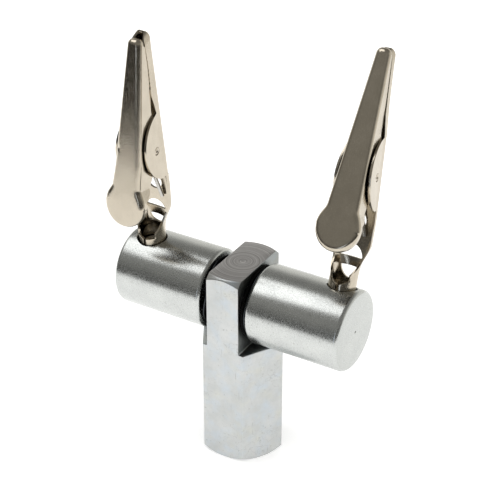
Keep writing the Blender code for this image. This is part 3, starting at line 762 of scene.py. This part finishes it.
def jaw_back(hand, height):
    """How far the channel's back stands behind the tail's axis."""
    straight = JAW_BACK + JAW_BACK_SLOPE * (height - NECK_TOP)
    straight += JAW_BULGE[hand] * ramp(height, EAR_TOP, EAR_TOP + EAR_STEP)
    straight -= nose(height) * (0.5 * (straight + JAW_WALL[0][1]) - NOSE_HALF)
    return straight + (TAIL_R - straight) * ramp(height, NECK_TOP, NECK_FOOT)


def seam_shift(hand, height):
    """How much further back the seam runs just above the ears of this clip."""
    upper, lower = SEAM_RAMPS
    return SEAM_BACK[hand] * ramp(height, *upper) * ramp(height, *lower)


def jaw_edge(hand, height):
    """Where the side walls end in front of the tail; negative is behind it."""
    if EAR_FOOT < height <= EAR_TOP:
        return math.sqrt(EAR_R ** 2 - (height - EAR_MIDDLE) ** 2) - EAR_BEHIND
    if height <= EAR_FOOT:
        return between(height, NECK_WALL)
    edge = between(height, JAW_WALL) - seam_shift(hand, height)
    edge -= max(nose(height) * (jaw_back(hand, NOSE_FOOT) + edge) / 2.0 - NOSE_HALF, 0.0)
    if TEETH[0] < height < TEETH[1]:
        phase = (height - TEETH[0]) / TOOTH_PITCH % 1.0
        edge -= TOOTH_DEPTH * (1.0 - abs(2.0 * phase - 1.0))
    return edge


def jaw_section(hand, height):
    """Points round the channel at one height, from one free edge over the back to the other."""
    half, back, edge = jaw_half(height), jaw_back(hand, height), jaw_edge(hand, height)
    half -= NOSE_PINCH * nose(height)
    corner = min(JAW_CORNER, 0.45 * half, 0.45 * (edge + back))
    floor, bend, wall = half - corner, corner * math.pi / 2, edge + back - corner
    roundness = ramp(height, NECK_TOP, NECK_FOOT)
    reach = math.acos(max(-1.0, min(1.0, -edge / TAIL_R)))
    wrap = reach + (TAIL_WRAP - reach) * ramp(height, NECK_FOOT, TAIL_CLOSED[hand])
    flat_steps, bend_steps, wall_steps = SECTION_STEPS
    side = []
    for step in range(flat_steps + bend_steps + wall_steps + 1):
        if step <= flat_steps:
            run = floor * step / flat_steps
            flat = (run, back)
        elif step <= flat_steps + bend_steps:
            turn = math.pi / 2 * (step - flat_steps) / bend_steps
            run = floor + corner * turn
            flat = (floor + corner * math.sin(turn), back - corner * (1 - math.cos(turn)))
        else:
            down = wall * (step - flat_steps - bend_steps) / wall_steps
            run = floor + bend + down
            depth = back - corner - down
            flat = (half + EAR_FLARE * max(EAR_FLARE_FROM - depth, 0.0), depth)
        turn = run / (floor + bend + wall) * wrap
        curl = (TAIL_R * math.sin(turn), TAIL_R * math.cos(turn))
        side.append((flat[0] + (curl[0] - flat[0]) * roundness,
                     flat[1] + (curl[1] - flat[1]) * roundness))
    mirrored = [(-across, depth) for across, depth in reversed(side[1:])]
    droop = NOSE_DROOP * ramp(height, NOSE_FOOT - 3.0, NOSE_TOP)
    up = height if height < NOSE_FOOT else NOSE_FOOT + (height - NOSE_FOOT) * NOSE_RISE[hand]
    return [(across, depth, up - droop * (back - depth)) for across, depth in mirrored + side]


def jaw_heights():
    """Heights of the sections from tip to tail, closest where the outline turns."""
    middle, reach = (EAR_TOP + EAR_FOOT) / 2, (EAR_TOP - EAR_FOOT) / 2
    ears = [middle + reach * math.cos(math.pi * step / 60) for step in range(61)]
    tip = [NOSE_FOOT + (NOSE_TOP - NOSE_FOOT) * math.sin(math.pi / 2 * step / 12)
           for step in range(12, 0, -1)]
    teeth = spread(TEETH[1], TEETH[0], round((TEETH[1] - TEETH[0]) / TOOTH_PITCH * 4))
    return (tip + spread(NOSE_FOOT, TEETH[1], 3) + teeth + spread(TEETH[0], EAR_TOP + 0.05, 30)
            + ears + spread(EAR_FOOT - 0.05, NECK_TOP, 12) + spread(NECK_TOP, TAIL_SEAM, 60)
            + spread(TAIL_SEAM, TAIL_FOOT, 6) + [TAIL_FOOT])


def opening_mesh(half, reach, height, low=-math.inf, high=math.inf):
    """A prism along Y, an oval in outline, cut off at two heights counted from its middle."""
    low, high = max(low, -reach), min(high, reach)
    side = []
    for step in range(25):
        up = low + (high - low) * (1.0 - math.cos(math.pi * step / 24)) / 2
        side.append((half * math.sqrt(max(1.0 - (up / reach) ** 2, 0.0)), up))
    outline = side + [(-across, up) for across, up in reversed(side)]
    centre = (low + high) / 2
    near, far = OPENING_CUT
    rows = [[(across * share, depth, height + centre + (up - centre) * share)
             for across, up in outline]
            for depth, share in ((near, 0.0), (near, 1.0), (far, 1.0), (far, 0.0))]
    mesh = grid_mesh("opening", rows, True)
    face_outwards(mesh)
    return mesh


def across_pin():
    """Turns a shape made along Z to lie along the jaw pin."""
    return Matrix.Translation((0, *PIVOT)) @ Matrix.Rotation(math.pi / 2, 4, "Y")


def drill_for_pin(piece, play):
    radius, past = PIN_R + play, 9
    drill = turned_mesh("drill", [(0, -past), (radius, -past), (radius, past), (0, past)], 48)
    drill.transform(across_pin())
    cut(piece, drill)


def make_lower_jaw(hand):
    name = f"{hand}_lower_jaw_pressing"
    piece = new_piece(name, grid_mesh(name, [jaw_section(hand, height)
                                         for height in jaw_heights()]))
    thicken(piece, SHEET)
    centre, reach = OPENING_CENTRE[hand], OPENING_REACH[hand]
    low, high = (height - centre for height in BRIDGE[hand])
    cut(piece, opening_mesh(SPRING_HOLE_R, SPRING_HOLE_R, SPRING_HOLE))
    cut(piece, opening_mesh(UPPER_OPENING_HALF, reach, centre, low=high))
    cut(piece, opening_mesh(LOWER_OPENING_HALF, reach, centre, high=low))
    drill_for_pin(piece, PIN_PLAY["jaw"])
    break_edges(piece, SHEET_EDGE)
    settle(piece, clip_matrix(hand), f"{hand}_clip", f"{hand}_lower_jaw",
           [NICKEL], SHEET_SMOOTH_BELOW)


# Clip: upper jaw

def lever_point(along, depth):
    """(Y, Z) of a point on the lever, along its plate from the pad's centre and behind it."""
    outward = LEVER_FRONT - along * math.sin(LEVER_ANGLE) - depth * math.cos(LEVER_ANGLE)
    height = PAD_HEIGHT + along * math.cos(LEVER_ANGLE) - depth * math.sin(LEVER_ANGLE)
    return -outward, height


def lever_coordinates(height, outward):
    """The inverse: how far along the plate, and how far behind it, a point lies."""
    rise, drop = height - PAD_HEIGHT, outward - LEVER_FRONT
    along = rise * math.cos(LEVER_ANGLE) - drop * math.sin(LEVER_ANGLE)
    depth = -rise * math.sin(LEVER_ANGLE) - drop * math.cos(LEVER_ANGLE)
    return along, depth


def plate_half(along):
    """Half width of the lever's plate: a tapering strip that swells into the round pad."""
    strip = lever_half(PAD_HEIGHT + along * math.cos(LEVER_ANGLE))
    if along >= PAD_R:
        return strip
    pad = math.sqrt(PAD_R ** 2 - along ** 2)
    return (strip ** PAD_BLEND + pad ** PAD_BLEND) ** (1.0 / PAD_BLEND)


def lever_outline(hand):
    """(along, across, wall depth, normal along, normal across) once round the plate.

    It starts at the middle of the tip.
    """
    upper, lower = WEDGE_RAMPS
    walls = []
    for height, edge in LEVER_WALL:
        shut = WEDGE_SHUT[hand] * ramp(height, *upper) * ramp(height, *lower)
        walls.append(lever_coordinates(height, edge - seam_shift(hand, height) - shut))
    tip, tip_depth = walls[0]
    tip += TIP_LONGER[hand]
    walls = [tuple(point) for point in round_corners(walls, WALL_ROUND, 4)]
    straight = tip - LEVER_TIP_ROUND
    half = plate_half(straight)
    side = [(tip, 0.0, tip_depth, 1.0, 0.0)]
    for step in range(13):
        turn = math.pi / 2 * step / 12
        side.append((straight + LEVER_TIP_ROUND * math.cos(turn),
                     half - LEVER_TIP_ROUND * (1.0 - math.sin(turn)), tip_depth,
                     math.cos(turn), math.sin(turn)))
    for along in spread(straight - 0.3, PAD_R, 110) + spread(PAD_R, 0.0, 40):
        widening = (plate_half(along - NUDGE) - plate_half(along + NUDGE)) / (2 * NUDGE)
        size = math.hypot(1.0, widening)
        side.append((along, plate_half(along), between(along, walls), widening / size, 1 / size))
    for step in range(41):
        turn = math.pi / 2 * step / 40
        side.append((-PAD_R * math.sin(turn), PAD_R * math.cos(turn), PAD_RIM,
                     -math.sin(turn), math.cos(turn)))
    return side + [(along, -across, depth, forward, -sideways)
                   for along, across, depth, forward, sideways in reversed(side[1:-1])]


def inset_outline(outline, inset):
    """(along, across) of the outline, moved inwards by this much."""
    return [(along - inset * forward, across - inset * sideways)
            for along, across, wall, forward, sideways in outline]


def make_upper_jaw(hand):
    """A pressed tray: the plate, a bend all round it, and walls drawn back to the seam."""
    outline = lever_outline(hand)
    dent_along, dent_across, deep, wide = DENTS[hand]

    def crown(along, across):
        middle = plate_half(min(along, 30.0)) if along > -PAD_R + 0.5 else PAD_R
        fall = LEVER_CROWN * min(abs(across) / middle, 1.0) ** 2
        away = math.hypot(along - dent_along, across - dent_across)
        return fall + deep * math.exp(-(away / wide) ** 2)

    def aside(along):
        return PAD_ASIDE[hand] * ramp(along, *ASIDE_RAMP)

    loops = []
    inner = inset_outline(outline, LEVER_BEND)
    for share in [step / 14 for step in range(15)]:
        loop = [(along * share, across * share) for along, across in inner]
        loops.append([(across + aside(along), *lever_point(along, crown(along, across)))
                      for along, across in loop])
    for step in range(1, 8):
        turn = math.pi / 2 * step / 7
        drop = LEVER_BEND * (1 - math.cos(turn))
        moved = inset_outline(outline, LEVER_BEND * (1 - math.sin(turn)))
        loops.append([(across + aside(along), *lever_point(along, drop + crown(along, across)))
                      for along, across in moved])
    for share in (0.1, 0.25, 0.4, 0.55, 0.7, 0.85, 1.0):
        loop = []
        for along, across, wall, *normal in outline:
            start = LEVER_BEND + crown(along, across)
            depth = start + (max(wall, start) - start) * share
            drawn = 1.0 - LEVER_DRAFT * depth / plate_half(max(along, 0.0))
            loop.append((across * drawn + aside(along), *lever_point(along, depth)))
        loops.append(loop)
    name = f"{hand}_upper_jaw_pressing"
    piece = new_piece(name, grid_mesh(name, loops, True))
    thicken(piece, SHEET)
    drill_for_pin(piece, PIN_PLAY["lever"])
    break_edges(piece, SHEET_EDGE)
    settle(piece, clip_matrix(hand), f"{hand}_lever", f"{hand}_upper_jaw",
           [NICKEL], SHEET_SMOOTH_BELOW)


# Clip: pin and spring

def make_pin(hand):
    """A pin whose ends are punched in a little at the middle."""
    reach = jaw_half(PIVOT[1]) + EAR_FLARE * (EAR_FLARE_FROM - PIVOT[0]) + PIN_PROUD
    name = f"{hand}_jaw_rivet"
    half = [(radius, reach - deep) for radius, deep in PIN_END]
    profile = half + [(radius, -height) for radius, height in reversed(half)]
    piece = new_piece(name, turned_mesh(name, round_corners(profile, 0.1, 3), 48))
    piece.data.transform(across_pin())
    settle(piece, clip_matrix(hand), f"{hand}_clip", f"{hand}_jaw_pin", [NICKEL])


def spring_path(hand):
    """A leg down the lower jaw's back, a coil round the pin, and a leg under the pad."""
    pad_y, pad_z = lever_point(PAD_LEG_ALONG, SHEET + WIRE_R + WIRE_GAP)
    away, drop = pad_y - PIVOT[0], pad_z - PIVOT[1]
    last = math.atan2(drop, away) % (2 * math.pi)
    last -= math.acos(COIL_R / math.hypot(away, drop))
    sweep = COIL_TURNS * 2 * math.pi + last
    count = round(sweep / (2 * math.pi) * COIL_POINTS)
    width = COIL_PITCH * sweep / (2 * math.pi)
    side, foot = JAW_LEG
    back = jaw_back(hand, foot) - SHEET - WIRE_R - WIRE_GAP
    coil = []
    for step in range(count + 1):
        turn = sweep * step / count
        coil.append((width * (step / count - 0.5), PIVOT[0] + COIL_R * math.cos(turn),
                     PIVOT[1] + COIL_R * math.sin(turn)))
    return [(side, back, foot)] + coil + [(width / 2, pad_y, pad_z)]


def make_spring(hand):
    wire = bpy.data.curves.new("wire", "CURVE")
    wire.dimensions = "3D"
    wire.bevel_depth = WIRE_R
    wire.bevel_resolution = 5
    wire.use_fill_caps = True
    path = spring_path(hand)
    line = wire.splines.new("POLY")
    line.points.add(len(path) - 1)
    for point, spot in zip(line.points, path):
        point.co = (*spot, 1.0)
    guide = new_piece("guide", wire)
    bpy.context.view_layer.update()
    graph = bpy.context.evaluated_depsgraph_get()
    mesh = bpy.data.meshes.new_from_object(guide.evaluated_get(graph))
    bpy.data.objects.remove(guide, do_unlink=True)
    piece = new_piece(f"{hand}_spring_wire", mesh)
    settle(piece, clip_matrix(hand), f"{hand}_clip", f"{hand}_jaw_spring",
           [SPRING])


# The object

make_post()
frame["nodes"]["axle"].data.materials.clear()
frame["nodes"]["axle"].data.materials.append(BRIGHT)
for hand, sign in SIDES:
    make_barrel(hand, sign)
    make_washer(hand, sign)
    make_wave_washer(hand, sign)
    make_grub_screw(hand, sign)
    make_spigot(hand, sign)
    make_lower_jaw(hand)
    make_upper_jaw(hand)
    make_pin(hand)
    make_spring(hand)


# Studio, in metres and degrees: each light stands at an azimuth and an elevation

FLOOR_NEAR = 0.24
FLOOR_FAR = 4.0
LIGHT_DISTANCE = 0.7
SKY_AT = (60, 75)
SKY_SPREAD = math.radians(110.0)
SKY_ENERGY = 1.8
FLOOR_GLOW = 0.42
SOFTBOX_AT = (-72, 60)
SOFTBOX_SIZE = (0.5, 0.4)
SOFTBOX_RADIANCE = 1.7
STRIP_AT = (2, 2)
STRIP_SIZE = (0.1, 0.26)
STRIP_RADIANCE = 1.6
STRIP_COLOUR = (0.75, 0.85, 1.0)
WHITE = (1.0, 1.0, 1.0, 1.0)
WORLD_TINT = (1.0, 0.985, 0.93)
WORLD_TURN = (-0.15, 0.45)
# (how high a direction points, brightness)
WORLD_FRONT = [(-0.3, 0.05), (0.0, 0.085), (0.21, 0.175), (0.5, 0.3), (0.75, 0.24)]
WORLD_BACK = [(-0.3, 0.95), (0.25, 0.88), (0.53, 0.34), (0.72, 0.21), (0.95, 0.22)]
CAMERA_AZIMUTH = 30.416
CAMERA_ELEVATION = 30.934
CAMERA_ROLL = math.radians(0.104)
CAMERA_DISTANCE = 0.3
CAMERA_AIM = (0.00137, 0.0106)
CAMERA_LENS = 110.74


def floor_look():
    look = Look("paper_floor", 0.0, 0.9)
    grain = look.noise(0.6, 2.0)
    colour = look.mix(look.span(grain, 0.4, 0.6), (0.88, 0.88, 0.88), (0.89, 0.89, 0.89))
    look.shader.inputs["Specular IOR Level"].default_value = 0.0
    look.shader.inputs["Emission Color"].default_value = WHITE
    look.shader.inputs["Emission Strength"].default_value = FLOOR_GLOW
    return look.finish(colour)


def make_floor():
    """A pale disc, and a wide ring round it that reflections don't see."""
    look = floor_look()
    for name, radii, reflected in (("floor_disc", (FLOOR_NEAR, FLOOR_NEAR / 2, 0.0), True),
                                   ("floor_ring", (FLOOR_FAR, FLOOR_NEAR), False)):
        rings = [ring_of(radius, 0.0, 128) for radius in radii]
        piece = new_piece(name, grid_mesh(name, rings, True))
        piece.data.materials.append(look)
        piece.visible_glossy = reflected


def make_world():
    """White to look at. In reflections it is dark at the front, and pale low at the back."""
    world = bpy.data.worlds.new("studio")
    bpy.context.scene.world = world
    world.use_nodes = True
    tree = world.node_tree
    tree.nodes.clear()

    def gradient(value, stops):
        """Brightness read from (value, brightness) stops."""
        ramp_node = tree.nodes.new("ShaderNodeValToRGB")
        tree.links.new(value, ramp_node.inputs["Fac"])
        ends = ramp_node.color_ramp.elements
        while len(ends) < len(stops):
            ends.new(0.5)
        for end, (spot, level) in zip(ends, stops):
            end.position = (spot + 1) / 2
            end.color = (*(level * part for part in WORLD_TINT), 1.0)
        return ramp_node.outputs["Color"]

    way = add_node(tree, "ShaderNodeTexCoord", {})["Generated"]
    parts = add_node(tree, "ShaderNodeSeparateXYZ", {"Vector": way})
    rise = add_node(tree, "ShaderNodeMapRange", {"Value": parts["Z"], "From Min": -1.0})["Result"]
    front = gradient(rise, WORLD_FRONT)
    back = gradient(rise, WORLD_BACK)
    front_end, back_start = WORLD_TURN
    share = add_node(tree, "ShaderNodeMapRange", {
        "Value": parts["Y"], "From Min": front_end, "From Max": back_start})["Result"]
    mixed = mix_colours(tree, share, front, back)
    dim = add_node(tree, "ShaderNodeBackground", {"Color": mixed})["Background"]
    white = add_node(tree, "ShaderNodeBackground", {"Color": WHITE})["Background"]
    seen = add_node(tree, "ShaderNodeLightPath", {})["Is Camera Ray"]
    both = add_node(tree, "ShaderNodeMixShader", {0: seen, 1: dim, 2: white})["Shader"]
    add_node(tree, "ShaderNodeOutputWorld", {"Surface": both})


def direction(azimuth, elevation):
    """A direction from the object: azimuth 0 is the front, and is positive to the right."""
    around, up = math.radians(azimuth), math.radians(elevation)
    return Vector((math.sin(around) * math.cos(up), -math.cos(around) * math.cos(up),
                   math.sin(up)))


def add_light(name, kind, azimuth, elevation):
    """A light that shines on the object from this direction."""
    lamp = bpy.data.lights.new(name, kind)
    item = bpy.data.objects.new(name, lamp)
    bpy.context.scene.collection.objects.link(item)
    towards = direction(azimuth, elevation)
    item.location = Vector((0, 0, AXIS_HEIGHT)) + towards * LIGHT_DISTANCE
    item.rotation_euler = towards.to_track_quat("Z", "Y").to_euler()
    return item


def add_panel(name, at, size, radiance, colour):
    """A flat light with the same radiance all over."""
    lamp = add_light(name, "AREA", *at).data
    lamp.shape = "RECTANGLE"
    lamp.size, lamp.size_y = size
    lamp.energy = math.pi * size[0] * size[1] * radiance
    lamp.color = colour


def make_lights():
    """A wide sun that lights only the floor, and the two panels that the metal reflects."""
    sky = add_light("sky", "SUN", *SKY_AT)
    sky.data.energy = SKY_ENERGY
    sky.data.angle = SKY_SPREAD
    sky.visible_glossy = False
    add_panel("softbox", SOFTBOX_AT, SOFTBOX_SIZE, SOFTBOX_RADIANCE, (1.0, 1.0, 1.0))
    add_panel("front_strip", STRIP_AT, STRIP_SIZE, STRIP_RADIANCE, STRIP_COLOUR)


def make_camera():
    """Close, and looking down from the front right."""
    back = direction(CAMERA_AZIMUTH, CAMERA_ELEVATION)
    level = direction(CAMERA_AZIMUTH + 90.0, 0.0)
    camera = bpy.data.cameras.new("camera")
    camera.lens = CAMERA_LENS
    camera.clip_start = 0.01
    item = bpy.data.objects.new("camera", camera)
    bpy.context.scene.collection.objects.link(item)
    across, rise = CAMERA_AIM
    aim = level * across + Vector((0, 0, AXIS_HEIGHT + rise))
    turn = Matrix((level, back.cross(level), back)).transposed().to_4x4()
    item.matrix_world = (Matrix.Translation(aim + back * CAMERA_DISTANCE) @ turn
                         @ Matrix.Rotation(CAMERA_ROLL, 4, "Z"))
    bpy.context.scene.camera = item


make_floor()
make_world()
make_lights()
make_camera()
bpy.context.scene.view_settings.view_transform = "Standard"
